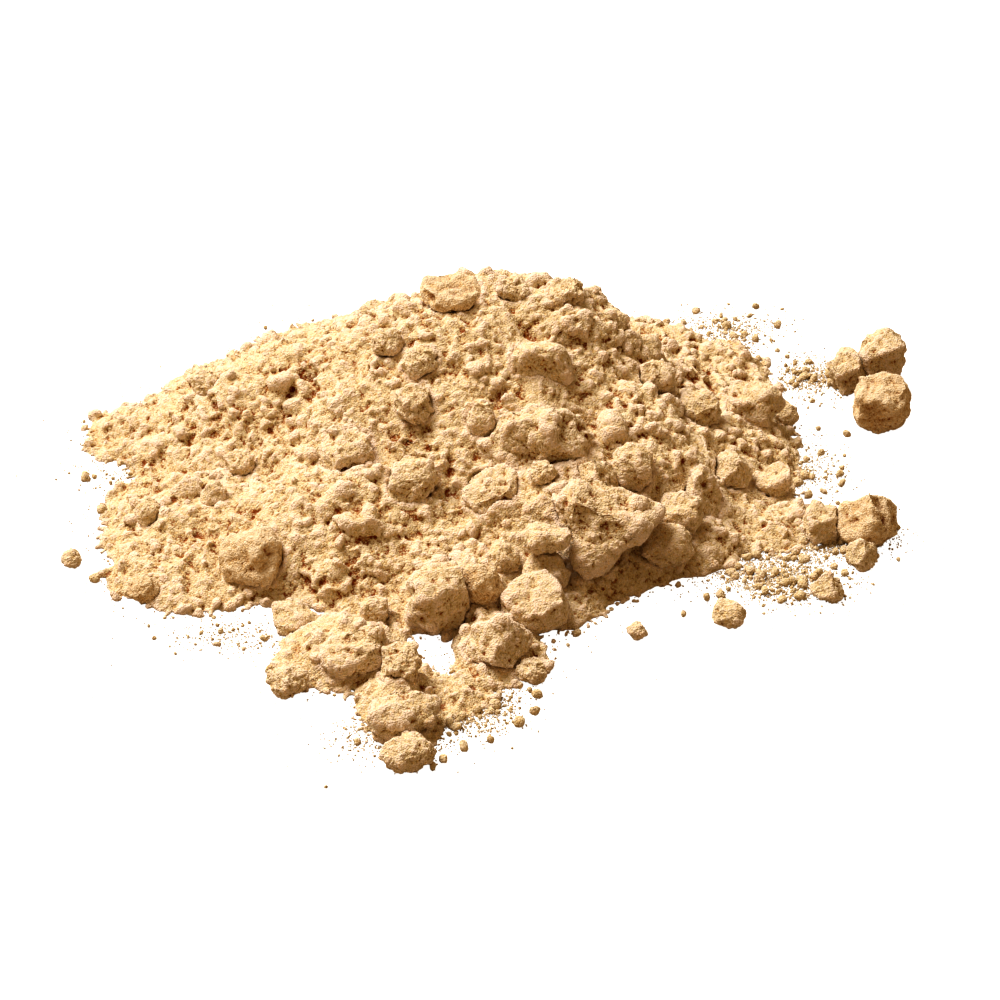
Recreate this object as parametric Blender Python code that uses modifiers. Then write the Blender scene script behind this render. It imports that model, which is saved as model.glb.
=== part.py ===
"""A spilled heap of ground ginger powder with the caked lumps that lie on and around it.

The powder is one low solid, made of overlapping mounds that run together. Every caked lump is
its own solid: it sits in a seat pressed into the powder, or stands on the floor beside it.
Metres, +Z up. The floor is z = 0 and the heap's middle is x = y = 0.
"""

import math
import random

import bmesh
import bpy
from mathutils import Euler, Matrix, Vector, noise
from mathutils.bvhtree import BVHTree

MM = 0.001

# Overall sizes of the powder, without the lumps beside it.
HEAP_WIDTH = 0.110
HEAP_DEPTH = 0.114
HEAP_HEIGHT = 0.025

LUMP_SCALE = 1.0  # all lumps together, as a share of the sizes listed below
GAP = 0.0003  # clear space between two solids that rest against each other
ROUGHNESS = 0.0014  # how far the powder's surface rises and falls
SKIRT = 0.004  # how far the mounds reach below the floor before they are cut level
VOXEL = 0.0011
BOULDER_WIDTH = 8.0  # millimetres: lumps wider than this are modelled more finely
HEAP_TRIANGLES = 3300
LUMP_TRIANGLES = 74
BOULDER_TRIANGLES = 150
SEED = 41

# The plan below is drawn for a heap of this size, and is stretched to the sizes above.
PLAN_WIDTH = 0.110
PLAN_DEPTH = 0.114
PLAN_HEIGHT = 0.025

# Mounds that run together into the heap, in millimetres of the plan:
# name, place across, place in depth, reach across, reach in depth, height, turn in degrees, fullness
MOUNDS = (
    ("main mound", 3, 5, 46, 36, 23.5, 0, 1.5),
    ("crest", 9, 10, 30, 19, 25, -4, 2.2),
    ("left shoulder", -22, 7, 29, 23, 15.5, 8, 1.6),
    ("back left lobe", -42, 8, 16, 9.5, 4.2, 12, 1.8),
    ("left foot", -34, -17, 18, 17, 6, 20, 1.6),
    ("left toe", -38, -31, 12, 9, 3, -6, 1.8),
    ("front apron", -12, -21, 32, 19, 11, 0, 1.5),
    ("front right apron", 16, -20, 22, 18, 13, 0, 1.5),
    ("front toe", 0, -36, 17, 9, 5, 0, 1.8),
    ("tongue left", -15, -49, 10, 8, 4, 20, 1.8),
    ("tongue tip", -6.5, -60, 5.6, 12, 3.4, 8, 1.8),
    ("tongue right", 7, -48.5, 7, 8, 4, 0, 1.8),
    ("tongue skirt", 0.5, -58.5, 5.5, 4.5, 1.6, 25, 2.0),
    ("front right toe", 15.5, -37.5, 8, 6, 3, 35, 1.8),
    ("right shoulder", 24, -6, 22, 26, 15, 0, 1.6),
    ("right fan", 40, 2, 14, 24, 6.5, 0, 1.8),
    ("back right fan", 32, 26, 21, 15.5, 4.5, -30, 2.0),
    ("back apron", 2, 26, 38, 20, 8, 0, 1.5),
    ("right foot", 30, -24, 15, 9, 6, 14, 1.8),
    ("right spur", 44.5, -18, 11, 7, 2.6, 0, 1.8),
)

# Lumps bedded in the powder, in millimetres of the plan: name, form, place across, place in depth,
# width, depth, height, turn in degrees, share of the height that is sunk in the powder
BEDDED = (
    ("crest_flat_cap", "slab", 0, 8, 9.5, 8.5, 5, 10, 0.45),
    ("crest_knob_middle", "round", 9.5, 9, 5, 5, 3.8, 40, 0.4),
    ("crest_knob_right", "block", 17.5, 9, 6, 5, 4, 15, 0.4),
    ("crest_knob_behind", "round", 22, 15, 3.4, 3.4, 3.4, 0, 0.3),
    ("slope_slab", "ledge", 13.5, -3, 8.8, 7, 8, -8, 0.5),
    ("slope_finger", "finger", 4.5, -13, 3.8, 4.5, 7.5, 8, 0.42),
    ("slope_boulder", "bowl", 13, -15, 15, 12, 13.5, 0, 0.5),
    ("slope_knob_upper", "round", -4.5, -4.5, 5.5, 5, 4.6, 0, 0.4),
    ("slope_knob_middle", "block", -5, -10.5, 5.5, 5, 5.6, 30, 0.4),
    ("slope_knob_left", "round", -9.5, 0, 5, 5, 4.4, 60, 0.4),
    ("slope_lump_left", "block", -15, -15.5, 8.5, 7.5, 7, 20, 0.5),
    ("slope_lump_low", "block", -5.5, -22, 7, 7, 8, -10, 0.5),
    ("slope_lump_centre", "wedge", 6, -22.5, 8.5, 7.5, 6.2, 10, 0.5),
    ("slope_dome", "round", 13.5, -22.5, 4.2, 4, 3.8, 0, 0.35),
    ("wedge_right", "pyramid", 21, -22.5, 7, 6.5, 7, 0, 0.4),
    ("barrel_right", "finger", 26.5, -19, 5.8, 5.6, 7.6, 0, 0.3),
    ("upright_right", "finger", 31, 2, 5.8, 5, 7, -15, 0.4),
    ("right_lump_upper", "block", 37.5, -0.5, 6.5, 6, 6.2, 25, 0.4),
    ("right_lump_middle", "round", 41.5, -11, 6.5, 6, 6.5, 0, 0.4),
    ("right_lump_outer", "block", 46.5, 6.5, 8.5, 7, 6.5, -20, 0.35),
    ("right_lump_edge", "round", 52, 10, 4.2, 4.2, 4.4, 30, 0.2),
    ("right_lump_low", "wedge", 48, -11, 5.6, 5, 4.8, 0, 0.3),
    ("right_flat_slab", "leaning", 37, -18.5, 5.5, 8, 9.5, 0, 0.45),
    ("right_nub", "block", 33, -24.5, 6.8, 6, 5.6, -12, 0.35),
    ("front_boulder", "boulder", 22, -31, 15, 12.5, 14.5, 0, 0.33),
    ("front_right_lump", "round", 31, -29.5, 8, 7, 6.4, 10, 0.3),
    ("front_stub", "round", 13.5, -36, 7, 6.2, 6.6, 30, 0.35),
    ("front_cap", "ledge", 13.5, -35, 6.8, 6, 4.2, 0, 0.2),
    ("round_front", "slab", 12, -42.5, 8.8, 8, 7.4, 0, 0.25),
    ("front_nub_left", "round", 4.5, -40, 6, 6, 6.4, 0, 0.3),
    ("front_nub_upper", "finger", 7.5, -34, 4.8, 4.8, 6.4, 20, 0.35),
    ("front_block", "block", -1.5, -42.6, 9.4, 7.6, 9.4, 12, 0.3),
    ("front_finger", "finger", -10.5, -42, 4, 4.2, 6, 0, 0.35),
    ("front_left_lump", "round", -21.5, -43, 7.6, 6, 5.2, -25, 0.3),
    ("left_round", "round", -28, -32.5, 9, 8.5, 8, 0, 0.4),
    ("left_pebble", "finger", -34.5, -18, 3.4, 3.6, 4.8, 10, 0.4),
    ("left_nub_upper", "round", -31, -10, 4.8, 4.6, 4.4, 0, 0.4),
    ("left_nub_back", "block", -37, 5, 4.6, 4.4, 3.6, 30, 0.4),
    ("left_edge_nub", "round", -44, -20, 4, 4, 4.2, 0, 0.35),
    ("left_front_pebble", "round", -43.5, -36, 4.8, 4.6, 4, 0, 0.25),
    ("tongue_wedge", "wedge", -13, -53.5, 9.2, 6.5, 6, 12, 0.35),
    ("tongue_stub", "block", -6.5, -57, 5.6, 6, 6.2, 0, 0.35),
    ("tongue_lump_right", "pyramid", 6.5, -52, 9, 7.5, 7.4, -5, 0.3),
    ("tongue_nub", "round", 11, -54.5, 4.4, 4, 3.4, 0, 0.2),
    ("tongue_lump_front", "block", -6, -66.5, 9.4, 6, 4.8, 6, 0.25),
)

# Lumps that stand on the floor: name, form, place across, place in depth, width, depth, height, turn
STANDING = (
    ("tongue_tip_lump", "round", -5.5, -73, 7, 5.5, 4.6, 10),
    ("tongue_left_lump", "round", -22, -57.5, 5.8, 5, 4.2, -20),
    ("far_upper", "standing", 68.5, 22.5, 7.8, 7.5, 10.4, 0),
    ("far_upper_knob", "standing", 62.4, 20.5, 6.4, 6, 7.4, 20),
    ("far_lower", "block", 67, 9.8, 8.8, 8.2, 9.4, -10),
    ("far_right", "pyramid", 60.4, -21.6, 9.8, 8.4, 9, 0),
    ("far_right_nub", "pyramid", 59.4, -27.6, 4.6, 4.4, 4.8, 0),
    ("far_right_tail", "block", 54.4, -20.5, 5.6, 6, 5.4, 0),
    ("crumb_left", "round", -54.5, -28, 3, 3, 2.8, 0),
    ("crumb_right", "pyramid", 53.8, -36, 4.8, 4.4, 4.4, 15),
    ("crumb_front", "round", 39, -42, 5, 4.2, 3.6, -10),
    ("crumb_middle", "round", 26, -45, 2.8, 2.8, 2.6, 0),
)

# Lumps that lean on another lump: they keep their place beside it when the heap is stretched.
LEANS_ON = {
    "slope_finger": "slope_boulder",
    "slope_dome": "slope_lump_centre",
    "wedge_right": "slope_boulder",
    "barrel_right": "wedge_right",
    "right_nub": "front_right_lump",
    "right_lump_low": "right_lump_middle",
    "right_lump_edge": "right_lump_outer",
    "front_right_lump": "front_boulder",
    "front_stub": "front_boulder",
    "front_cap": "front_stub",
    "round_front": "front_stub",
    "front_nub_upper": "front_stub",
    "front_block": "front_stub",
    "front_nub_left": "front_block",
    "tongue_stub": "tongue_wedge",
    "tongue_nub": "tongue_lump_right",
    "tongue_tip_lump": "tongue_lump_front",
    "far_upper_knob": "far_upper",
    "far_right_tail": "far_right",
    "far_right_nub": "far_right",
}

# Lumps that rest on top of another lump
RESTS_ON = {"front_cap": "front_stub"}

# Flat sides that each form is broken along, seen from the front: across, in depth, up, and how far
# out, as a share of half the lump's size. A side at 1 only touches it.
SIDES = {
    "round": ((-0.5, -0.5, 0.7, 0.86), (0.8, -0.3, 0.3, 0.88)),
    "block": (
        (-1, -0.1, 0.1, 0.72),
        (1, -0.2, 0, 0.74),
        (-0.15, -0.2, 1, 0.66),
        (0.1, -1, -0.1, 0.74),
        (0, 1, 0.2, 0.8),
        (0.6, -0.7, 0.4, 0.82),
    ),
    "slab": ((-0.12, -0.3, 1, 0.42), (1, 0, 0.1, 0.8), (-0.8, -0.6, 0, 0.84)),
    "ledge": ((-0.05, 0.35, 1, 0.6), (0.1, -1, -0.15, 0.6), (1, 0, 0, 0.78), (-1, 0, -0.2, 0.75), (0, -0.6, -1, 0.7)),
    "wedge": ((-0.55, -0.2, 1, 0.4), (1, -0.2, 0.1, 0.72), (0.1, -1, 0, 0.7)),
    "pyramid": ((0.9, -0.5, 0.5, 0.42), (-0.85, -0.45, 0.55, 0.46), (0, 1, 0.6, 0.5)),
    "finger": ((-1, -0.2, 0, 0.8), (1, -0.1, 0, 0.8), (0.3, -0.4, 1, 0.84)),
    "leaning": ((0.55, -0.75, 0.62, 0.36), (-0.5, 0.7, -0.5, 0.5), (0, 0, 1, 0.85)),
    "bowl": ((1, -0.4, -0.1, 0.86), (0.2, -0.9, -0.8, 0.72)),
    "standing": ((-0.3, -0.2, 1, 0.8), (-0.9, 0, -0.55, 0.55), (1, -0.3, 0.1, 0.78), (0.1, -1, 0, 0.72)),
    "boulder": (
        (0.42, -0.05, 0.9, 0.6),
        (1, 0, 0.1, 0.86),
        (0.7, -0.2, -0.7, 0.36),
        (-0.92, -0.1, -0.3, 0.5),
        (-0.75, -0.2, 0.62, 0.82),
        (-0.15, -1, 0.35, 0.56),
        (0.55, -0.8, 0.1, 0.7),
    ),
}

# Hollows in some forms: across, in depth, up, how deep and how wide, as shares of half the size
HOLLOWS = {
    "bowl": ((-0.35, -0.8, 0.3, 0.55, 0.42), (0.5, -0.3, 0.9, 0.12, 0.3)),
    "boulder": ((0.3, -0.9, 0.1, 0.14, 0.3),),
    "standing": ((-0.2, -0.9, 0.2, 0.2, 0.35),),
    "block": ((0.5, -0.6, 0.6, 0.08, 0.3),),
}

# Lumps whose tops are dusted grey
DUSTED = ("crest_flat_cap", "left_round", "left_front_pebble", "front_nub_left", "far_lower", "far_right")

POWDER = ("ginger powder", (0.80, 0.60, 0.34, 1.0), 0.95)
CAKED = ("caked ginger powder", (0.76, 0.54, 0.28, 1.0), 0.92)
DUSTY = ("dusty caked powder", (0.70, 0.55, 0.36, 1.0), 0.96)


def clear_scene():
    for obj in list(bpy.data.objects):
        bpy.data.objects.remove(obj, do_unlink=True)


def collection(name, hidden=False):
    made = bpy.data.collections.new(name)
    bpy.context.scene.collection.children.link(made)
    made.hide_render = hidden
    return made


def material(name, colour, roughness):
    made = bpy.data.materials.new(name)
    made.use_nodes = True
    shader = made.node_tree.nodes["Principled BSDF"]
    shader.inputs["Base Color"].default_value = colour
    shader.inputs["Roughness"].default_value = roughness
    made.diffuse_color = colour
    return made


def new_object(name, mesh_data, home):
    mesh = bpy.data.meshes.new(name)
    mesh_data.to_mesh(mesh)
    mesh_data.free()
    obj = bpy.data.objects.new(name, mesh)
    home.objects.link(obj)
    return obj


def plan_point(across, depth):
    """A place of the plan, in metres of the heap."""
    return Vector((across * MM * HEAP_WIDTH / PLAN_WIDTH, depth * MM * HEAP_DEPTH / PLAN_DEPTH, 0.0))


def add_mound(body, across, depth, reach_x, reach_y, height, turn, fullness):
    """One mound: a ball reshaped into a rounded cone above the floor and a skirt below it."""
    made = bmesh.ops.create_uvsphere(body, u_segments=40, v_segments=24, radius=1.0)["verts"]
    for vert in made:
        out = min(1.0, math.hypot(vert.co.x, vert.co.y))
        if vert.co.z > 0:
            level = height * MM * (HEAP_HEIGHT / PLAN_HEIGHT) * (1.0 - out**fullness)
        else:
            level = -SKIRT * (1.0 - out**8)
        vert.co = Vector((vert.co.x * reach_x * MM, vert.co.y * reach_y * MM, level))
    turned = Matrix.Rotation(math.radians(turn), 4, "Z")
    stretched = Matrix.Diagonal((HEAP_WIDTH / PLAN_WIDTH, HEAP_DEPTH / PLAN_DEPTH, 1.0, 1.0))
    bmesh.ops.transform(body, matrix=stretched @ turned, verts=made)
    bmesh.ops.translate(body, vec=plan_point(across, depth), verts=made)


def apply_modifier(obj, kind, **settings):
    modifier = obj.modifiers.new(kind.title(), kind)
    for key, value in settings.items():
        setattr(modifier, key, value)
    graph = bpy.context.evaluated_depsgraph_get()
    mesh = bpy.data.meshes.new_from_object(obj.evaluated_get(graph))
    obj.modifiers.clear()
    old = obj.data
    obj.data = mesh
    bpy.data.meshes.remove(old)


def cut(body, point, normal):
    """Takes away the side that the normal points to and closes the cut with a flat face."""
    geometry = body.verts[:] + body.edges[:] + body.faces[:]
    made = bmesh.ops.bisect_plane(
        body, geom=geometry, dist=1e-7, plane_co=point, plane_no=normal, clear_outer=True
    )
    rim = [item for item in made["geom_cut"] if isinstance(item, bmesh.types.BMEdge)]
    rim = [edge for edge in rim if edge.is_boundary]
    if rim:
        bmesh.ops.triangle_fill(body, use_beauty=True, use_dissolve=False, edges=rim)
    bmesh.ops.recalc_face_normals(body, faces=body.faces[:])


def keep_largest(body):
    """Removes every loose piece except the one with the most faces."""
    left = set(body.faces)
    groups = []
    while left:
        front = [left.pop()]
        group = list(front)
        while front:
            face = front.pop()
            for edge in face.edges:
                if len(edge.link_faces) != 2:
                    continue  # pieces that only touch along an edge aren't joined
                for other in edge.link_faces:
                    if other in left:
                        left.remove(other)
                        group.append(other)
                        front.append(other)
        groups.append(group)
    groups.sort(key=len)
    spare = [face for group in groups[:-1] for face in group]
    if spare:
        bmesh.ops.delete(body, geom=spare, context="FACES")


def simplify(body, triangles):
    """Collapses edges until the closed body has about this many triangles."""
    bmesh.ops.triangulate(body, faces=body.faces[:])
    helper = new_object("lump_blank", body.copy(), bpy.context.scene.collection)
    apply_modifier(helper, "DECIMATE", ratio=min(1.0, triangles / len(body.faces)))
    body.clear()
    body.from_mesh(helper.data)
    bpy.data.objects.remove(helper, do_unlink=True)


def tidy_mesh(obj, merge=2e-6):
    body = bmesh.new()
    body.from_mesh(obj.data)
    bmesh.ops.remove_doubles(body, verts=body.verts[:], dist=merge)
    bmesh.ops.dissolve_degenerate(body, edges=body.edges[:], dist=merge)
    keep_largest(body)
    bmesh.ops.triangulate(body, faces=body.faces[:])
    bmesh.ops.recalc_face_normals(body, faces=body.faces[:])
    body.to_mesh(obj.data)
    body.free()


def build_heap(home):
    body = bmesh.new()
    for _name, *sizes in MOUNDS:
        add_mound(body, *sizes)
    heap = new_object("powder_heap", body, home)
    apply_modifier(heap, "REMESH", mode="VOXEL", voxel_size=VOXEL, adaptivity=0.0)
    apply_modifier(heap, "SMOOTH", factor=0.5, iterations=4)
    body = bmesh.new()
    body.from_mesh(heap.data)
    body.normal_update()
    moves = []
    for vert in body.verts:
        spot = vert.co / 0.009
        coarse = noise.noise(spot + Vector((SEED, 0, 0)))
        fine = noise.noise(spot * 2.3 + Vector((0, SEED, 0)))
        moves.append(vert.normal * ROUGHNESS * (coarse + 0.8 * fine))
    for vert, move in zip(body.verts, moves):
        vert.co += move
    body.to_mesh(heap.data)
    body.free()
    share = HEAP_TRIANGLES / (2.0 * len(heap.data.polygons))
    apply_modifier(heap, "DECIMATE", ratio=share)
    body = bmesh.new()
    body.from_mesh(heap.data)
    cut(body, Vector((0, 0, 0)), Vector((0, 0, -1)))
    body.to_mesh(heap.data)
    body.free()
    tidy_mesh(heap)
    return heap


def soft_reach(direction, sides, soft=0.05):
    """How far a body bounded by flat sides reaches in a direction, with its edges rounded off."""
    total = math.exp(-1.0 / soft)
    for side, away in sides:
        facing = direction.dot(side)
        if facing > 0.05:
            total += math.exp(-away / facing / soft)
    return -soft * math.log(total)


def lump_body(centre, form, width, depth, height, turn, chance):
    """One caked lump: a ball broken along its form's sides, knocked about, and drawn out to its size."""
    body = bmesh.new()
    bmesh.ops.create_icosphere(body, subdivisions=4, radius=1.0)
    shift = Vector((chance.uniform(0, 50), chance.uniform(0, 50), chance.uniform(0, 50)))
    sides = []
    for across, deep, up, away in SIDES[form]:
        nudge = Vector((chance.uniform(-0.12, 0.12), chance.uniform(-0.12, 0.12), chance.uniform(-0.12, 0.12)))
        sides.append(((Vector((across, deep, up)).normalized() + nudge).normalized(), away))
    for _chip in range(4):
        side = Vector((chance.uniform(-1, 1), chance.uniform(-1, 1), chance.uniform(-0.7, 1))).normalized()
        sides.append((side, chance.uniform(0.8, 0.98)))
    for vert in body.verts:
        direction = vert.co.normalized()
        reach = soft_reach(direction, sides)
        for across, deep, up, deepness, wide in HOLLOWS.get(form, ()):
            near = 1.0 - direction.dot(Vector((across, deep, up)).normalized())
            reach -= deepness * math.exp(-near / (wide * wide))
        reach += 0.13 * noise.noise(direction * 1.6 + shift) + 0.06 * noise.noise(direction * 4.0 + shift)
        vert.co = direction * reach
    simplify(body, BOULDER_TRIANGLES if width > BOULDER_WIDTH else LUMP_TRIANGLES)
    low = Vector([min(vert.co[i] for vert in body.verts) for i in range(3)])
    high = Vector([max(vert.co[i] for vert in body.verts) for i in range(3)])
    size = Vector((width, depth, height)) * MM * LUMP_SCALE
    for vert in body.verts:
        share = [(vert.co[i] - low[i]) / (high[i] - low[i]) - 0.5 for i in range(3)]
        vert.co = Vector([share[i] * size[i] for i in range(3)])
    lean = (chance.uniform(-0.1, 0.1), chance.uniform(-0.1, 0.1), math.radians(turn))
    bmesh.ops.rotate(body, cent=(0, 0, 0), matrix=Euler(lean).to_matrix(), verts=body.verts[:])
    bmesh.ops.translate(body, vec=centre, verts=body.verts[:])
    return body


def part_neighbours(lumps):
    """Where two lumps press on each other, both are cut back to a shared plane, a gap apart."""
    names = list(lumps)
    for first in range(len(names)):
        for second in range(first + 1, len(names)):
            here, there = lumps[names[first]], lumps[names[second]]
            along = there["centre"] - here["centre"]
            apart = along.length
            along.normalize()
            reach_here = max((v.co - here["centre"]).dot(along) for v in here["body"].verts)
            reach_there = max((there["centre"] - v.co).dot(along) for v in there["body"].verts)
            over = reach_here + reach_there + GAP - apart
            if over <= 0:
                continue
            middle = here["centre"] + along * (reach_here + 0.5 * GAP - over * reach_here / (reach_here + reach_there))
            cut(here["body"], middle - along * 0.5 * GAP, along)
            cut(there["body"], middle + along * 0.5 * GAP, -along)


def grown_copy(obj, home):
    """The lump with its skin moved outwards, so that its seat leaves the gap on every side."""
    body = bmesh.new()
    body.from_mesh(obj.data)
    bmesh.ops.remove_doubles(body, verts=body.verts[:], dist=0.5 * GAP)
    bmesh.ops.dissolve_degenerate(body, edges=body.edges[:], dist=0.5 * GAP)
    bmesh.ops.triangulate(body, faces=body.faces[:])
    bmesh.ops.recalc_face_normals(body, faces=body.faces[:])
    body.normal_update()
    moves = [vert.normal * GAP * min(vert.calc_shell_factor(), 1.6) for vert in body.verts]
    for vert, move in zip(body.verts, moves):
        vert.co += move
    grown = new_object(obj.name + "_seat", body, home)
    grown.display_type = "WIRE"
    grown.hide_render = True
    return grown


def main():
    clear_scene()
    shown = collection("ginger_powder_heap")
    cutters = collection("seat_cutters", hidden=True)
    powder = material(*POWDER)
    caked = material(*CAKED)
    dusty = material(*DUSTY)

    heap = build_heap(shown)
    heap.data.materials.clear()
    heap.data.materials.append(powder)
    body = bmesh.new()
    body.from_mesh(heap.data)
    surface = BVHTree.FromBMesh(body)
    body.free()

    plan = {row[0]: (row[2], row[3]) for row in BEDDED + STANDING}

    def spot_of(name):
        """Where a lump stands: by the plan, or beside the lump that it leans on."""
        if name not in LEANS_ON:
            return plan_point(*plan[name])
        leader = LEANS_ON[name]
        beside = Vector((plan[name][0] - plan[leader][0], plan[name][1] - plan[leader][1], 0.0))
        return spot_of(leader) + beside * MM * LUMP_SCALE

    chance = random.Random(SEED)
    lumps = {}
    for name, form, _across, _depth, width, deep, height, turn, sunk in BEDDED:
        spot = spot_of(name)
        hit = surface.ray_cast(spot + Vector((0, 0, 0.1)), Vector((0, 0, -1)))[0]
        level = hit.z if hit else 0.0
        centre = Vector((spot.x, spot.y, level + (0.5 - sunk) * height * MM * LUMP_SCALE))
        if name in RESTS_ON:
            below = lumps[RESTS_ON[name]]
            top = max(vert.co.z for vert in below["body"].verts)
            centre.z = top + 0.42 * height * MM * LUMP_SCALE
        lumps[name] = {"centre": centre, "body": lump_body(centre, form, width, deep, height, turn, chance)}
    for name, form, _across, _depth, width, deep, height, turn in STANDING:
        centre = spot_of(name) + Vector((0, 0, 0.42 * height * MM * LUMP_SCALE))
        lumps[name] = {"centre": centre, "body": lump_body(centre, form, width, deep, height, turn, chance)}
    part_neighbours(lumps)

    for name, lump in lumps.items():
        cut(lump["body"], Vector((0, 0, 0)), Vector((0, 0, -1)))
        obj = new_object(name, lump["body"], shown)
        tidy_mesh(obj)
        obj.data.materials.append(dusty if name in DUSTED else caked)
        seat = grown_copy(obj, cutters)
        apply_modifier(heap, "BOOLEAN", operation="DIFFERENCE", solver="EXACT", object=seat)
    tidy_mesh(heap)


main()
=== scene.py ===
"""Looks of the spilled heap of ground ginger powder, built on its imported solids.

Every solid is replaced by a grainy version of itself, in the same place and size. The powder is
one crumbly skin, each caked lump is a broken block with soft edges, and fine grains lie around.
"""

import math

import bmesh
import bpy
import numpy as np
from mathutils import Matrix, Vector
from mathutils.bvhtree import BVHTree


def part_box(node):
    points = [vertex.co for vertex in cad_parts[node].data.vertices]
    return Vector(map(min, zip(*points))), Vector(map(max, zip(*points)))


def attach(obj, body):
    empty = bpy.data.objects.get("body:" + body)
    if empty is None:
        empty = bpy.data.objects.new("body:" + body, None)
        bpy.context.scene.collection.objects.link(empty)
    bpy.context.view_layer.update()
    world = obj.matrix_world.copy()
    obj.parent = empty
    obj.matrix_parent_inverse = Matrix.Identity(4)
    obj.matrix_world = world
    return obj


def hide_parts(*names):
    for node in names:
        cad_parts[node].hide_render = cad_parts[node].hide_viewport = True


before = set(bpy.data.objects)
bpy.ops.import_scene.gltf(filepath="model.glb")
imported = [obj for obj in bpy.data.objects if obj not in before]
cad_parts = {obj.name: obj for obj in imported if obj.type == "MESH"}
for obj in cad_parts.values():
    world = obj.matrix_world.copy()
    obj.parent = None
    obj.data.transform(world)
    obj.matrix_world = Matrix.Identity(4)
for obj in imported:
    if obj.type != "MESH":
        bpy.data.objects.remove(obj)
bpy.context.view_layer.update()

MM = 0.001
SEED = 7
HEAP_VOXEL = 0.22 * MM
LUMP_VOXELS = (0.12 * MM, 0.20 * MM)
BESIDE_LUMPS = 1.6 * MM

BEDDED_CRUMBS = 17000
CLODS = 1100
TOE_CRUMBS = 1900
FLOOR_CRUMBS = 4200
FLOOR_GRAINS = 9000

# Lumps with more dust on them than the rest.
DUSTED = (
    "crest_flat_cap",
    "left_round",
    "left_front_pebble",
    "front_nub_left",
    "far_lower",
    "far_right",
)
# Starts of the names of lumps that are only loosely caked, and so are crumbly all over.
CRUMBLY = (
    "slope_dome",
    "slope_boulder",
    "slope_lump",
    "slope_knob",
    "crest_knob",
    "tongue",
    "left_nub",
    "front_boulder",
)
CRUMBLY_SHARE = 1.9

# Where powder lies thinly on the floor, in millimetres: place across, in depth, reach across, in
# depth, and how thickly.
DUSTINGS = (
    (53, -20, 9, 5, 1.0),
    (47, -31, 9, 6, 0.45),
    (58, 24, 6, 6, 0.3),
    (46, 39, 8, 6, 0.2),
    (3, -60, 6, 6, 0.6),
    (-8, -68, 8, 5, 0.15),
    (-52, -4, 7, 5, 0.05),
    (-30, -45, 9, 4, 0.1),
    (54, -2, 6, 7, 0.15),
)
# The floor that stray crumbs may lie on, in millimetres: from and to across, then in depth.
STRAY_ACROSS = (-64, 76)
STRAY_DEPTH = (-84, 56)

# Colours of the powder: painted highlight on ridges, its own colour between, painted shade in cracks,
# and of the dust that settles on it.
RIDGE_HIGHLIGHT = (0.83, 0.71, 0.60)
MIDDLE = (0.72, 0.61, 0.395)
CRACK_SHADE = (0.28, 0.07, 0.004)
DUST = (0.66, 0.54, 0.39)
DUSTED_RIDGE_HIGHLIGHT = (0.84, 0.71, 0.54)
DUSTED_MIDDLE = (0.68, 0.51, 0.30)
DUSTED_DUST = (0.60, 0.52, 0.41)
BROWN_GRAIN = (0.30, 0.15, 0.05)
YELLOW_GRAIN = (0.86, 0.58, 0.20)

# ---------------------------------------------------------------- noise

CELL_FACTORS = (374761393, 668265263, 1440662683)
SEED_FACTOR = 974634777


def lattice(cell, seed):
    """A number from 0 to 1 for each whole-number cell."""
    mixed = sum(cell[..., axis] * factor for axis, factor in enumerate(CELL_FACTORS))
    mixed = ((mixed + seed * SEED_FACTOR) & 0xFFFFFFFF).astype(np.uint64)
    mixed = ((mixed ^ (mixed >> np.uint64(13))) * np.uint64(1274126177)) & np.uint64(0xFFFFFFFF)
    mixed = ((mixed ^ (mixed >> np.uint64(16))) * np.uint64(2246822519)) & np.uint64(0xFFFFFFFF)
    return (mixed ^ (mixed >> np.uint64(15))).astype(np.float64) / 4294967295.0


def smooth_noise(points, wavelength, seed):
    """Soft noise from -1 to 1."""
    place = points / wavelength
    cell = np.floor(place).astype(np.int64)
    part = place - cell
    part = part * part * (3.0 - 2.0 * part)
    total = np.zeros(len(points))
    for x in (0, 1):
        for y in (0, 1):
            for z in (0, 1):
                share = (
                    (part[:, 0] if x else 1 - part[:, 0])
                    * (part[:, 1] if y else 1 - part[:, 1])
                    * (part[:, 2] if z else 1 - part[:, 2])
                )
                total += share * lattice(cell + np.array((x, y, z)), seed)
    return total * 2.0 - 1.0


def fractal(points, wavelength, seed, octaves=3, fall=0.5):
    """Soft noise with finer and weaker noise on top."""
    total = np.zeros(len(points))
    weight = 1.0
    for octave in range(octaves):
        total += weight * smooth_noise(points, wavelength / 2**octave, seed + 17 * octave)
        weight *= fall
    return total


def grain_middles(cell, seed):
    """The middle of each cell's grain, at random but off the cell's sides."""
    inside = [0.7 * lattice(cell, seed + 31 * axis) for axis in range(3)]
    return np.stack([cell[:, axis] + 0.15 + inside[axis] for axis in range(3)], -1)


def grains(points, wavelength, seed):
    """Rounded grains packed side by side: 1 at a grain's middle, falling to 0 in the cracks between."""
    place = points / wavelength
    cell = np.floor(place).astype(np.int64)
    near = np.full(len(points), 9.0)
    for x in (-1, 0, 1):
        for y in (-1, 0, 1):
            for z in (-1, 0, 1):
                middle = grain_middles(cell + np.array((x, y, z)), seed)
                near = np.minimum(near, ((middle - place) ** 2).sum(-1))
    return np.clip(1.0 - near / 0.85, 0.0, 1.0)


def warped(points, wavelength, amount, seed):
    """The same places, pushed about a little, so that what is drawn from them is irregular."""
    push = [smooth_noise(points, wavelength, seed + 7 * axis) for axis in range(3)]
    return points + amount * np.stack(push, -1)


# ---------------------------------------------------------------- mesh helpers


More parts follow.
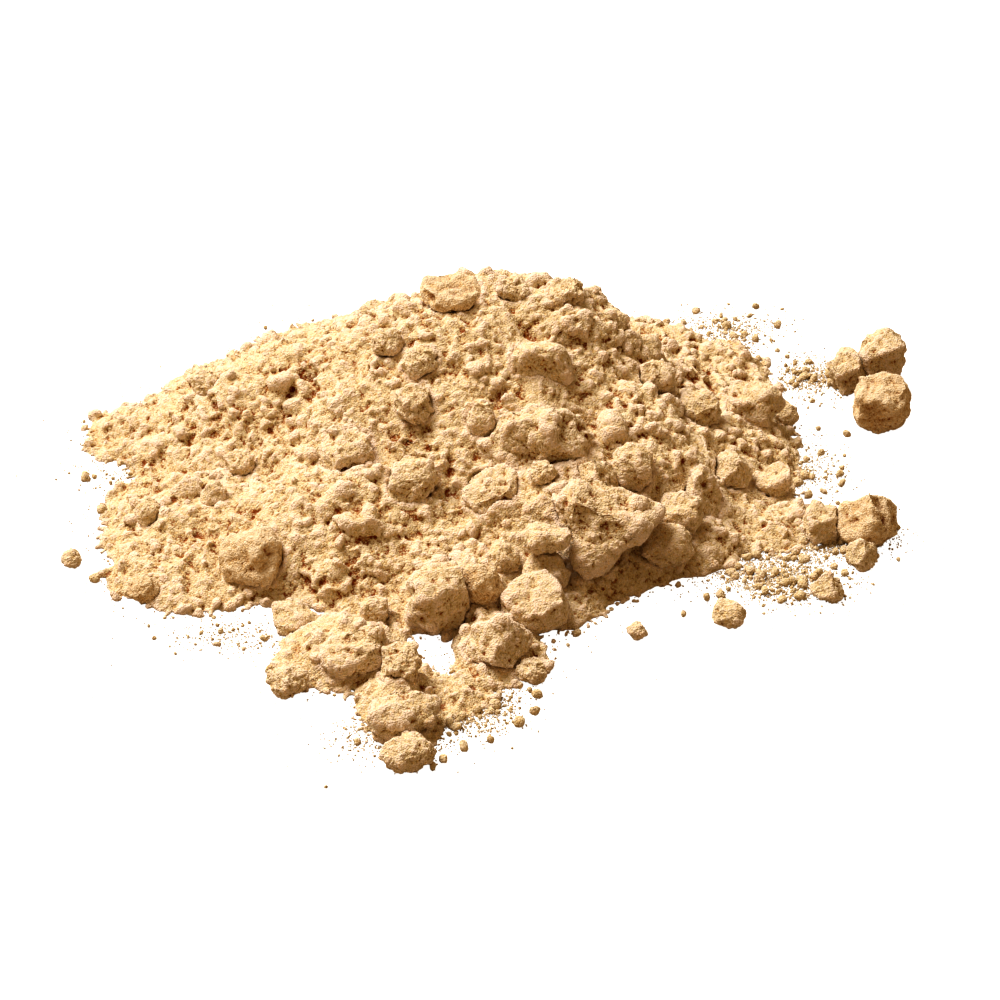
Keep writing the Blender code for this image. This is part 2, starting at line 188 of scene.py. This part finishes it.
def mesh_object(name, points, triangles):
    mesh = bpy.data.meshes.new(name)
    mesh.vertices.add(len(points))
    mesh.vertices.foreach_set("co", np.ascontiguousarray(points, np.float32).ravel())
    mesh.loops.add(len(triangles) * 3)
    mesh.loops.foreach_set("vertex_index", np.ascontiguousarray(triangles, np.int32).ravel())
    mesh.polygons.add(len(triangles))
    mesh.polygons.foreach_set("loop_start", np.arange(0, 3 * len(triangles), 3, dtype=np.int32))
    mesh.update(calc_edges=True)
    obj = bpy.data.objects.new(name, mesh)
    bpy.context.scene.collection.objects.link(obj)
    return obj


def floats_of(source, key, count):
    values = np.empty(count * 3, np.float32)
    source.foreach_get(key, values)
    return values.reshape(-1, 3).astype(np.float64)


def points_of(mesh):
    return floats_of(mesh.vertices, "co", len(mesh.vertices))


def normals_of(mesh):
    return floats_of(mesh.vertex_normals, "vector", len(mesh.vertices))


def triangles_of(mesh):
    mesh.calc_loop_triangles()
    found = np.empty(len(mesh.loop_triangles) * 3, np.int32)
    mesh.loop_triangles.foreach_get("vertices", found)
    return found.reshape(-1, 3)


def put_points(mesh, points):
    mesh.vertices.foreach_set("co", np.ascontiguousarray(points, np.float32).ravel())
    mesh.update()


def put_on_floor(mesh, points):
    """Gives the mesh these points, with none below the floor."""
    points[:, 2] = np.maximum(points[:, 2], 0.0)
    put_points(mesh, points)


def ball(detail):
    """Points and triangles of a ball of radius 1."""
    body = bmesh.new()
    bmesh.ops.create_icosphere(body, subdivisions=detail, radius=1.0)
    points = np.array([vert.co[:] for vert in body.verts])
    triangles = np.array([[vert.index for vert in face.verts] for face in body.faces])
    body.free()
    return points / np.linalg.norm(points, axis=1, keepdims=True), triangles


def bake(obj, kind, **settings):
    """Applies one modifier to the object's mesh."""
    modifier = obj.modifiers.new(kind, kind)
    for key, value in settings.items():
        setattr(modifier, key, value)
    graph = bpy.context.evaluated_depsgraph_get()
    made = bpy.data.meshes.new_from_object(obj.evaluated_get(graph))
    obj.modifiers.clear()
    old = obj.data
    obj.data = made
    bpy.data.meshes.remove(old)


def joined(parts):
    """One list of points and one of triangles from many."""
    points, triangles, start = [], [], 0
    for some_points, some_triangles in parts:
        points.append(some_points)
        triangles.append(some_triangles + start)
        start += len(some_points)
    return np.concatenate(points), np.concatenate(triangles)


def set_values(mesh, name, values):
    layer = mesh.attributes.new(name, "FLOAT", "POINT")
    layer.data.foreach_set("value", np.ascontiguousarray(values, np.float32))


def plan_map(mesh):
    """A texture map seen from straight above, which suits a low heap."""
    points = points_of(mesh)
    low, high = points.min(0), points.max(0)
    flat = (points - low)[:, :2] / (high - low)[:2].max()
    corners = np.empty(len(mesh.loops), np.int32)
    mesh.loops.foreach_get("vertex_index", corners)
    layer = mesh.uv_layers.new(name="OFBake")
    layer.data.foreach_set("uv", np.ascontiguousarray(flat[corners], np.float32).ravel())


def standing_out(obj, steps, scale):
    """How far each point stands out of its surroundings: below 0 in a crack, above 0 on a ridge."""
    copy = bpy.data.objects.new("smoothed", obj.data.copy())
    bpy.context.scene.collection.objects.link(copy)
    bake(copy, "SMOOTH", factor=0.5, iterations=steps)
    away = points_of(obj.data) - points_of(copy.data)
    found = (away * normals_of(copy.data)).sum(1) / scale
    mesh = copy.data
    bpy.data.objects.remove(copy)
    bpy.data.meshes.remove(mesh)
    return found


def sample_surface(points, triangles, count, rng, weight=None):
    """Random places on a surface, with its outward direction there."""
    a, b, c = (points[triangles[:, i]] for i in range(3))
    cross = np.cross(b - a, c - a)
    area = np.linalg.norm(cross, axis=1)
    facing = cross / np.maximum(area, 1e-12)[:, None]
    chance = area if weight is None else area * weight((a + b + c) / 3, facing)
    chosen = rng.choice(len(triangles), count, p=chance / chance.sum())
    u, v = rng.random(count), rng.random(count)
    over = u + v > 1
    u[over], v[over] = 1 - u[over], 1 - v[over]
    places = a[chosen] + u[:, None] * (b - a)[chosen] + v[:, None] * (c - a)[chosen]
    return places, facing[chosen]


# ---------------------------------------------------------------- crumbs


def turn_matrix(rng):
    """A turn in any direction."""
    q = rng.normal(size=4)
    q /= np.linalg.norm(q)
    w, x, y, z = q
    return np.array(
        [
            [1 - 2 * (y * y + z * z), 2 * (x * y - z * w), 2 * (x * z + y * w)],
            [2 * (x * y + z * w), 1 - 2 * (x * x + z * z), 2 * (y * z - x * w)],
            [2 * (x * z - y * w), 2 * (y * z + x * w), 1 - 2 * (x * x + y * y)],
        ]
    )


def broken_block(directions, rng, sides, soft, rough, dents):
    """Distances from the middle of a lump to its skin: broken flat sides with soft edges, and dents."""
    normals = rng.normal(size=(sides, 3))
    normals /= np.linalg.norm(normals, axis=1, keepdims=True)
    away = rng.uniform(0.62, 0.98, sides)
    facing = directions @ normals.T
    reach = np.where(facing > 0.05, away / np.maximum(facing, 0.05), 9.0)
    reach = np.concatenate([reach, np.ones((len(directions), 1))], axis=1)
    radius = -soft * np.log(np.exp(-reach / soft).sum(1))
    for _count in range(dents):
        middle = rng.normal(size=3)
        middle /= np.linalg.norm(middle)
        wide = rng.uniform(0.25, 0.5)
        radius -= rng.uniform(0.06, 0.16) * np.exp(-((1 - directions @ middle) / (wide * wide)))
    shift = rng.uniform(0, 90, 3)
    radius += rough * fractal(directions + shift, 0.9, 3, octaves=3)
    return radius


def block_shapes(count, detail, stretches, rng, **form):
    """Several broken blocks of radius about 1, as points and triangles."""
    directions, faces = ball(detail)
    shapes = []
    for _shape in range(count):
        radius = broken_block(directions, rng, **form)
        stretch = rng.uniform(*stretches, 3)
        shapes.append((directions * radius[:, None] * stretch, faces))
    return shapes


def crumbs_at(places, radii, rng, shapes):
    """One crumb at each place, each a random shape turned at random."""
    parts = []
    for place, radius in zip(places, radii):
        points, faces = shapes[rng.integers(len(shapes))]
        parts.append(((points * radius) @ turn_matrix(rng).T + place, faces))
    return joined(parts)


rng = np.random.default_rng(SEED)
CRUMB_SHAPES = block_shapes(24, 2, (0.65, 1.2), rng, sides=9, soft=0.03, rough=0.24, dents=2)
CLOD_SHAPES = block_shapes(16, 3, (0.7, 1.15), rng, sides=7, soft=0.08, rough=0.20, dents=3)

# ---------------------------------------------------------------- materials


def node(tree, kind, inputs=None, **settings):
    made = tree.nodes.new(kind)
    for key, value in settings.items():
        setattr(made, key, value)
    for key, value in (inputs or {}).items():
        made.inputs[key].default_value = value
    return made


def calculated(tree, operation, *values):
    """A Math node's result. Each value is a number or another node's output."""
    made = node(tree, "ShaderNodeMath", operation=operation)
    for index, value in enumerate(values):
        if isinstance(value, (int, float)):
            made.inputs[index].default_value = value
        else:
            tree.links.new(value, made.inputs[index])
    return made.outputs[0]


def mixed_colour(tree, share, first, second):
    """The first colour, with this share of the second. A colour is three numbers or an output."""
    mixer = node(tree, "ShaderNodeMix", data_type="RGBA")
    tree.links.new(share, mixer.inputs["Factor"])
    for key, value in (("A", first), ("B", second)):
        if isinstance(value, tuple):
            mixer.inputs[key].default_value = (*value, 1)
        else:
            tree.links.new(value, mixer.inputs[key])
    return mixer.outputs["Result"]


def shade_and_highlight_ramp(tree, height, dark, middle, light):
    """Painted shade in cracks, painted highlight on what stands out."""
    ramp = node(tree, "ShaderNodeValToRGB")
    stops = ramp.color_ramp.elements
    stops[0].position, stops[0].color = 0.22, (*dark, 1)
    stops[1].position, stops[1].color = 0.84, (*light, 1)
    between = stops.new(0.49)
    between.color = (*middle, 1)
    tree.links.new(height, ramp.inputs["Fac"])
    return ramp.outputs["Color"]


def facing_up(tree, most):
    """0 on steep sides, rising to the most on level ground."""
    facing = node(tree, "ShaderNodeNewGeometry")
    up = node(tree, "ShaderNodeSeparateXYZ")
    tree.links.new(facing.outputs["Normal"], up.inputs[0])
    limits = {"From Min": 0.1, "From Max": 0.95, "To Min": 0.0, "To Max": most}
    cover = node(tree, "ShaderNodeMapRange", limits)
    tree.links.new(up.outputs["Z"], cover.inputs["Value"])
    return cover.outputs["Result"]


def powder_material(name, light, middle, dark, dust, dust_amount):
    """Matt ground powder: painted highlight where grains stand out, warm brown painted shade in the
    cracks, speckled throughout.
    """
    made = bpy.data.materials.new(name)
    made.use_nodes = True
    tree = made.node_tree
    shader = tree.nodes["Principled BSDF"]
    link = tree.links.new
    place = node(tree, "ShaderNodeTexCoord").outputs["Object"]

    def texture(kind, **inputs):
        made_node = node(tree, kind, inputs)
        link(place, made_node.inputs["Vector"])
        return made_node

    relief = node(tree, "ShaderNodeAttribute", attribute_name="relief").outputs["Fac"]
    patches = texture("ShaderNodeTexNoise", Scale=130.0, Detail=3.0, Roughness=0.6).outputs["Fac"]
    clumps = texture("ShaderNodeTexNoise", Scale=1100.0, Detail=1.0, Roughness=0.5).outputs["Fac"]
    grain = texture("ShaderNodeTexVoronoi", Scale=3800.0, Randomness=1.0)
    grit = texture("ShaderNodeTexVoronoi", Scale=2400.0, Randomness=1.0)
    of_each_grain = node(tree, "ShaderNodeSeparateColor")
    link(grain.outputs["Color"], of_each_grain.inputs["Color"])

    # How far a place stands out of the surface, from the mesh's own relief down to single grains:
    # painted shade in cracks and painted highlight on ridges, with random patches and grain-to-grain
    # tone.
    height = calculated(tree, "MULTIPLY_ADD", patches, 0.30, relief)
    height = calculated(tree, "MULTIPLY_ADD", clumps, 0.15, height)
    height = calculated(tree, "MULTIPLY_ADD", grain.outputs["Distance"], -0.30, height)
    height = calculated(tree, "MULTIPLY_ADD", of_each_grain.outputs[2], 0.28, height)
    height = calculated(tree, "SUBTRACT", height, 0.11)
    colour = shade_and_highlight_ramp(tree, height, dark, middle, light)

    # Some grains of ground root are darker or yellower than the rest.
    brown = calculated(tree, "GREATER_THAN", of_each_grain.outputs[0], 0.97)
    colour = mixed_colour(tree, calculated(tree, "MULTIPLY", brown, 0.4), colour, BROWN_GRAIN)
    yellow = calculated(tree, "GREATER_THAN", of_each_grain.outputs[1], 0.85)
    colour = mixed_colour(tree, calculated(tree, "MULTIPLY", yellow, 0.3), colour, YELLOW_GRAIN)

    # Duller dust that settled on what faces up.
    cover = calculated(tree, "MULTIPLY", facing_up(tree, dust_amount), clumps)
    colour = mixed_colour(tree, cover, colour, dust)
    link(colour, shader.inputs["Base Color"])

    # Single grains and coarser grit, as bumps.
    bump_height = calculated(tree, "MULTIPLY", grain.outputs["Distance"], -1.0)
    bump_height = calculated(tree, "MULTIPLY_ADD", grit.outputs["Distance"], -0.35, bump_height)
    bump_height = calculated(tree, "MULTIPLY_ADD", clumps, 0.2, bump_height)
    bump = node(tree, "ShaderNodeBump", {"Strength": 1.0, "Distance": 0.0002})
    link(bump_height, bump.inputs["Height"])
    link(bump.outputs["Normal"], shader.inputs["Normal"])

    shader.inputs["Roughness"].default_value = 0.95
    shader.inputs["Specular IOR Level"].default_value = 0.15
    shader.inputs["Diffuse Roughness"].default_value = 0.8
    return made


powder = powder_material("ginger_powder", RIDGE_HIGHLIGHT, MIDDLE, CRACK_SHADE, DUST, 0.15)
caked = powder_material("caked_powder", RIDGE_HIGHLIGHT, MIDDLE, CRACK_SHADE, DUST, 0.4)
dusty = powder_material("dusty_caked_powder", DUSTED_RIDGE_HIGHLIGHT, DUSTED_MIDDLE, CRACK_SHADE, DUSTED_DUST, 0.6)

# ---------------------------------------------------------------- caked lumps


def caked_lump(name, number, solid, rng):
    """The solid with crumbs stuck to it, soft edges, and relief of several sizes."""
    low, high = (np.array(corner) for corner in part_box(name))
    size = (high - low).max()
    crumbly = CRUMBLY_SHARE if name.startswith(CRUMBLY) else 1.0
    count = int(0.75 * crumbly * (size / MM) ** 2)
    places, outward = sample_surface(*solid, count, rng)
    largest = 0.10 * size / MM + 0.1
    radii = MM * crumbly**0.5 * np.clip(0.13 * rng.pareto(2.2, count) + 0.18, 0.18, largest)
    places = places - outward * radii[:, None] * rng.uniform(0.1, 0.7, count)[:, None]
    stuck = crumbs_at(places, radii, rng, CRUMB_SHAPES)
    piece = mesh_object(name + "_look", *joined([solid, stuck]))
    voxel = float(np.clip(size / 48, *LUMP_VOXELS))
    bake(piece, "REMESH", mode="VOXEL", voxel_size=voxel, adaptivity=0.0)
    bake(piece, "SMOOTH", factor=0.5, iterations=4)

    # Each lump takes its noise from a place of its own, so that no two are alike.
    points, outward = points_of(piece.data), normals_of(piece.data)
    own = points + np.array((number * 0.013, 0.0, 0.0))
    form = fractal(own, 0.4 * size, 4, octaves=3, fall=0.6)
    place = warped(warped(own, 1.8 * MM, 0.7 * MM, 9), 0.7 * MM, 0.25 * MM, 29)
    coarse = grains(place, 1.2 * MM, 5)
    fine = grains(place, 0.6 * MM, 6)
    soft = fractal(own, 2.6 * MM, 8, octaves=5, fall=0.75)
    small = 0.13 * (coarse - 0.6) + 0.08 * (fine - 0.6) + 0.16 * soft
    lift = 0.06 * size * form + crumbly**0.5 * MM * small
    put_on_floor(piece.data, points + outward * lift[:, None])

    # The relief sets the colour: painted shade in cracks, painted highlight on ridges.
    relief = 0.5 + 0.08 * standing_out(piece, 6, 0.05 * MM)
    relief += 0.26 * standing_out(piece, 60, 0.18 * MM)
    set_values(piece.data, "relief", np.clip(relief, 0.17, 1))
    piece.data.shade_smooth()
    return piece


lump_solids = []
for number, name in enumerate(sorted(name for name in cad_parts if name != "powder_heap")):
    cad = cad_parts[name].data
    solid = points_of(cad), triangles_of(cad)
    lump_solids.append(solid)
    piece = caked_lump(name, number, solid, rng)
    piece.data.materials.append(dusty if name in DUSTED else caked)
    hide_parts(name)
    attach(piece, "root")

# ---------------------------------------------------------------- the powder


def tree_of(points, triangles):
    return BVHTree.FromPolygons(points.tolist(), triangles.tolist())


heap_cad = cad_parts["powder_heap"].data
heap_solid = points_of(heap_cad), triangles_of(heap_cad)
heap_tree = tree_of(*heap_solid)
lumps_tree = tree_of(*joined(lump_solids))


def room_beside_lumps(points, reach):
    """How far each point is from the nearest lump, up to a limit."""
    found = np.full(len(points), reach)
    for index, point in enumerate(points.tolist()):
        near = lumps_tree.find_nearest(point, reach)
        if near[0] is not None:
            found[index] = near[3]
    return found


def off_the_floor(places, normals):
    """1 where small crumbs may lie, and 0 elsewhere."""
    return (places[:, 2] > 0.3 * MM) * (normals[:, 2] > -0.2)


def well_up(places, normals):
    """Where clods lie: on the slopes, in loose clusters, and fewer on the left."""
    clusters = np.clip(0.6 + 1.4 * smooth_noise(places, 9.0 * MM, 51), 0.05, None)
    rightward = np.clip((places[:, 0] + 60 * MM) / (70 * MM), 0.3, 1.0)
    return (places[:, 2] > 2.5 * MM) * (normals[:, 2] > 0.2) * clusters * rightward


def at_toe(places, normals):
    """1 on the lowest part of the slope all round, and 0 elsewhere."""
    return (places[:, 2] > 0.02 * MM) * (places[:, 2] < 0.9 * MM) * (normals[:, 2] > -0.5)


def bedded_crumbs(count, rng):
    """Small crumbs all over the powder. Only the smallest lie against a lump."""
    places, outward = sample_surface(*heap_solid, count, rng, off_the_floor)
    radii = MM * np.clip(0.22 * rng.pareto(2.1, count) + 0.25, 0.25, 1.3)
    places = places + outward * radii[:, None] * rng.uniform(-0.6, 0.1, count)[:, None]
    clear = (room_beside_lumps(places, 2.0 * MM) > 0.8 * radii) | (radii < 0.4 * MM)
    return crumbs_at(places[clear], radii[clear], rng, CRUMB_SHAPES)


def bedded_clods(count, rng):
    """Larger clods, clear of the lumps."""
    places, outward = sample_surface(*heap_solid, count, rng, well_up)
    radii = MM * np.clip(0.7 * rng.pareto(2.6, count) + 1.1, 1.1, 3.0)
    places = places + outward * radii[:, None] * rng.uniform(-0.55, 0.05, count)[:, None]
    clear = room_beside_lumps(places, 4.0 * MM) > 0.9 * radii
    return crumbs_at(places[clear], radii[clear], rng, CLOD_SHAPES)


def toe_crumbs(count, rng):
    """Crumbs along the toe, so that it doesn't end in a clean line."""
    places, outward = sample_surface(*heap_solid, count, rng, at_toe)
    radii = MM * np.clip(0.14 * rng.pareto(2.0, count) + 0.28, 0.28, 1.1)
    outward[:, 2] = 0.0
    outward /= np.maximum(np.linalg.norm(outward, axis=1, keepdims=True), 0.01)
    places = places + outward * MM * (1.6 * rng.random((count, 1)) ** 1.5)
    places[:, 2] = 0.4 * radii
    return crumbs_at(places, radii, rng, CRUMB_SHAPES)


def crumbly_heap(rng):
    """The powder: one skin over the solid and its crumbs, with relief that fades near the floor."""
    added = [bedded_crumbs(BEDDED_CRUMBS, rng), bedded_clods(CLODS, rng), toe_crumbs(TOE_CRUMBS, rng)]
    piece = mesh_object("powder_heap_look", *joined([heap_solid, *added]))
    bake(piece, "REMESH", mode="VOXEL", voxel_size=HEAP_VOXEL, adaptivity=0.0)
    bake(piece, "SMOOTH", factor=0.5, iterations=1)

    points, outward = points_of(piece.data), normals_of(piece.data)
    free = np.clip(room_beside_lumps(points, BESIDE_LUMPS) / BESIDE_LUMPS, 0.0, 1.0)
    raised = np.clip(points[:, 2] / (1.5 * MM), 0.0, 1.0)
    above = points[:, 2] > 0.05 * MM
    place = warped(warped(points, 3.0 * MM, 1.1 * MM, 21), 0.9 * MM, 0.35 * MM, 25)
    big = grains(place, 3.3 * MM, 14)
    coarse = grains(place, 1.6 * MM, 11)
    fine = grains(place, 0.8 * MM, 12)
    soft = fractal(points, 6.5 * MM, 13, octaves=6, fall=0.7)
    lift = 0.52 * (big - 0.75) + 0.30 * (coarse - 0.65) + 0.12 * (fine - 0.6) + 0.32 * soft
    # Powder creeps up against the lumps, which closes the gap around them.
    banked = (0.42 + 0.20 * soft) * (1 - free) ** 2
    lift = MM * above * (free * (0.30 + 0.70 * raised) * lift + banked)
    put_on_floor(piece.data, points + outward * lift[:, None])

    # The relief sets the colour: painted shade in cracks, painted highlight on ridges.
    relief = 0.5 + 0.06 * standing_out(piece, 5, 0.07 * MM)
    relief += 0.36 * standing_out(piece, 90, 0.36 * MM)
    set_values(piece.data, "relief", np.clip(relief, 0, 1))
    plan_map(piece.data)
    piece.data.shade_smooth()
    return piece


heap = crumbly_heap(rng)
heap.data.materials.append(powder)
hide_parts("powder_heap")
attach(heap, "root")

# ---------------------------------------------------------------- grains spilled on the floor


def spill(count, spread, rng):
    """Places on the floor near the heap's toe and in the dustings, with none under the powder."""
    found = []
    shares = np.array([across * deep * thick for _x, _y, across, deep, thick in DUSTINGS], float)
    while len(found) < count:
        if rng.random() < 0.5:
            x, y, across, deep, _thick = DUSTINGS[rng.choice(len(DUSTINGS), p=shares / shares.sum())]
            x = (x + 0.55 * across * rng.normal()) * MM
            y = (y + 0.55 * deep * rng.normal()) * MM
        else:
            x = rng.uniform(*STRAY_ACROSS) * MM
            y = rng.uniform(*STRAY_DEPTH) * MM
            from_heap = heap_tree.find_nearest((x, y, 0.0))[3]
            if rng.random() > 0.0005 + math.exp(-from_heap / (spread * MM)):
                continue
        if heap_tree.ray_cast((x, y, 0.1), (0, 0, -1))[0] is None:
            found.append((x, y, 0.0))
    return np.array(found)


def loose_grains(rng):
    """Crumbs and single grains that lie on the floor."""
    spots = spill(FLOOR_CRUMBS, 1.5, rng)
    radii = MM * np.clip(0.08 * rng.pareto(1.9, len(spots)) + 0.11, 0.11, 0.9)
    spots[:, 2] = radii * 0.6
    parts = [crumbs_at(spots, radii, rng, CRUMB_SHAPES)]
    grain_points, grain_triangles = ball(1)
    for x, y, _z in spill(FLOOR_GRAINS, 2.6, rng):
        radius = rng.uniform(0.05, 0.13) * MM
        points = grain_points * radius * rng.uniform(0.7, 1.2, 3) + (x, y, radius * 0.7)
        parts.append((points, grain_triangles))
    piece = mesh_object("spilled_grains", *joined(parts))
    points = points_of(piece.data)
    put_on_floor(piece.data, points)
    set_values(piece.data, "relief", np.full(len(points), 0.5))
    plan_map(piece.data)
    piece.data.shade_smooth()
    return piece


spilled = loose_grains(np.random.default_rng(SEED + 5))
spilled.data.materials.append(powder)
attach(spilled, "root")

# ---------------------------------------------------------------- floor, light and camera

FLOOR_REACH = 3.0
FLOOR_WHITE = 0.86
FLOOR_BOUNCE = (0.40, 0.33, 0.26)
ROOM_COLOUR = (1.0, 0.72, 0.39)
ROOM_STRENGTH = 0.42
BACKDROP_STRENGTH = 2.0
LAMP_PLACE = (-0.36, 0.15, 0.73)
LAMP_SIZE = 0.45
LAMP_POWER = 10.8
LAMP_COLOUR = (1.0, 0.99, 0.98)
TILT = math.radians(33.0)
DISTANCE = 0.424

scene = bpy.context.scene


def seen_or_lit(tree, lit, seen, output):
    """What the camera sees is one shader, and what lights the rest is another."""
    ray = node(tree, "ShaderNodeLightPath")
    choose = node(tree, "ShaderNodeMixShader")
    tree.links.new(ray.outputs["Is Camera Ray"], choose.inputs[0])
    tree.links.new(lit.outputs[0], choose.inputs[1])
    tree.links.new(seen.outputs[0], choose.inputs[2])
    tree.links.new(choose.outputs[0], tree.nodes[output].inputs["Surface"])


def pale_floor():
    """A floor that looks white, but throws back only as much light as a pale warm board would."""
    far = FLOOR_REACH
    corners = np.array([(-far, -far, 0), (far, -far, 0), (far, far, 0), (-far, far, 0)])
    floor = mesh_object("floor", corners, np.array([(0, 1, 2), (0, 2, 3)]))
    material = bpy.data.materials.new("floor_white")
    material.use_nodes = True
    tree = material.node_tree
    white = tree.nodes["Principled BSDF"]
    white.inputs["Base Color"].default_value = (0.4, 0.4, 0.4, 1)
    white.inputs["Roughness"].default_value = 0.9
    white.inputs["Emission Color"].default_value = (1, 1, 1, 1)
    white.inputs["Emission Strength"].default_value = FLOOR_WHITE
    board = node(tree, "ShaderNodeBsdfDiffuse", {"Color": (*FLOOR_BOUNCE, 1)})
    seen_or_lit(tree, board, white, "Material Output")
    floor.data.materials.append(material)
    return floor


def studio_room():
    """Soft warm light from all round. Beyond the floor's edge the room looks as white as the floor."""
    world = bpy.data.worlds.new("studio")
    scene.world = world
    world.use_nodes = True
    tree = world.node_tree
    soft = tree.nodes["Background"]
    soft.inputs["Color"].default_value = (*ROOM_COLOUR, 1)
    soft.inputs["Strength"].default_value = ROOM_STRENGTH
    backdrop = node(tree, "ShaderNodeBackground", {"Color": (1, 1, 1, 1), "Strength": BACKDROP_STRENGTH})
    seen_or_lit(tree, soft, backdrop, "World Output")


def soft_lamp():
    """One large lamp, high up and to the left, a little behind the heap."""
    data = bpy.data.lights.new("key", "AREA")
    data.size = LAMP_SIZE
    data.energy = LAMP_POWER
    data.color = LAMP_COLOUR
    lamp = bpy.data.objects.new("key", data)
    scene.collection.objects.link(lamp)
    lamp.location = LAMP_PLACE
    lamp.rotation_euler = (-Vector(LAMP_PLACE)).to_track_quat("-Z", "Y").to_euler()


def view_from_front():
    """A long lens, looking down on the heap from the front."""
    data = bpy.data.cameras.new("camera")
    camera = bpy.data.objects.new("camera", data)
    scene.collection.objects.link(camera)
    camera.location = (0.0, -DISTANCE * math.cos(TILT), DISTANCE * math.sin(TILT))
    camera.rotation_euler = (math.pi / 2 - TILT, 0.0, 0.0)
    data.lens = 100.0
    data.sensor_width = 36.0
    data.shift_x = 0.05
    data.shift_y = -0.04
    data.clip_start = 0.01
    data.clip_end = 20.0
    scene.camera = camera


floor = pale_floor()
studio_room()
soft_lamp()
view_from_front()
scene.view_settings.view_transform = "Standard"
scene.view_settings.look = "Very High Contrast"
scene.view_settings.exposure = -0.56
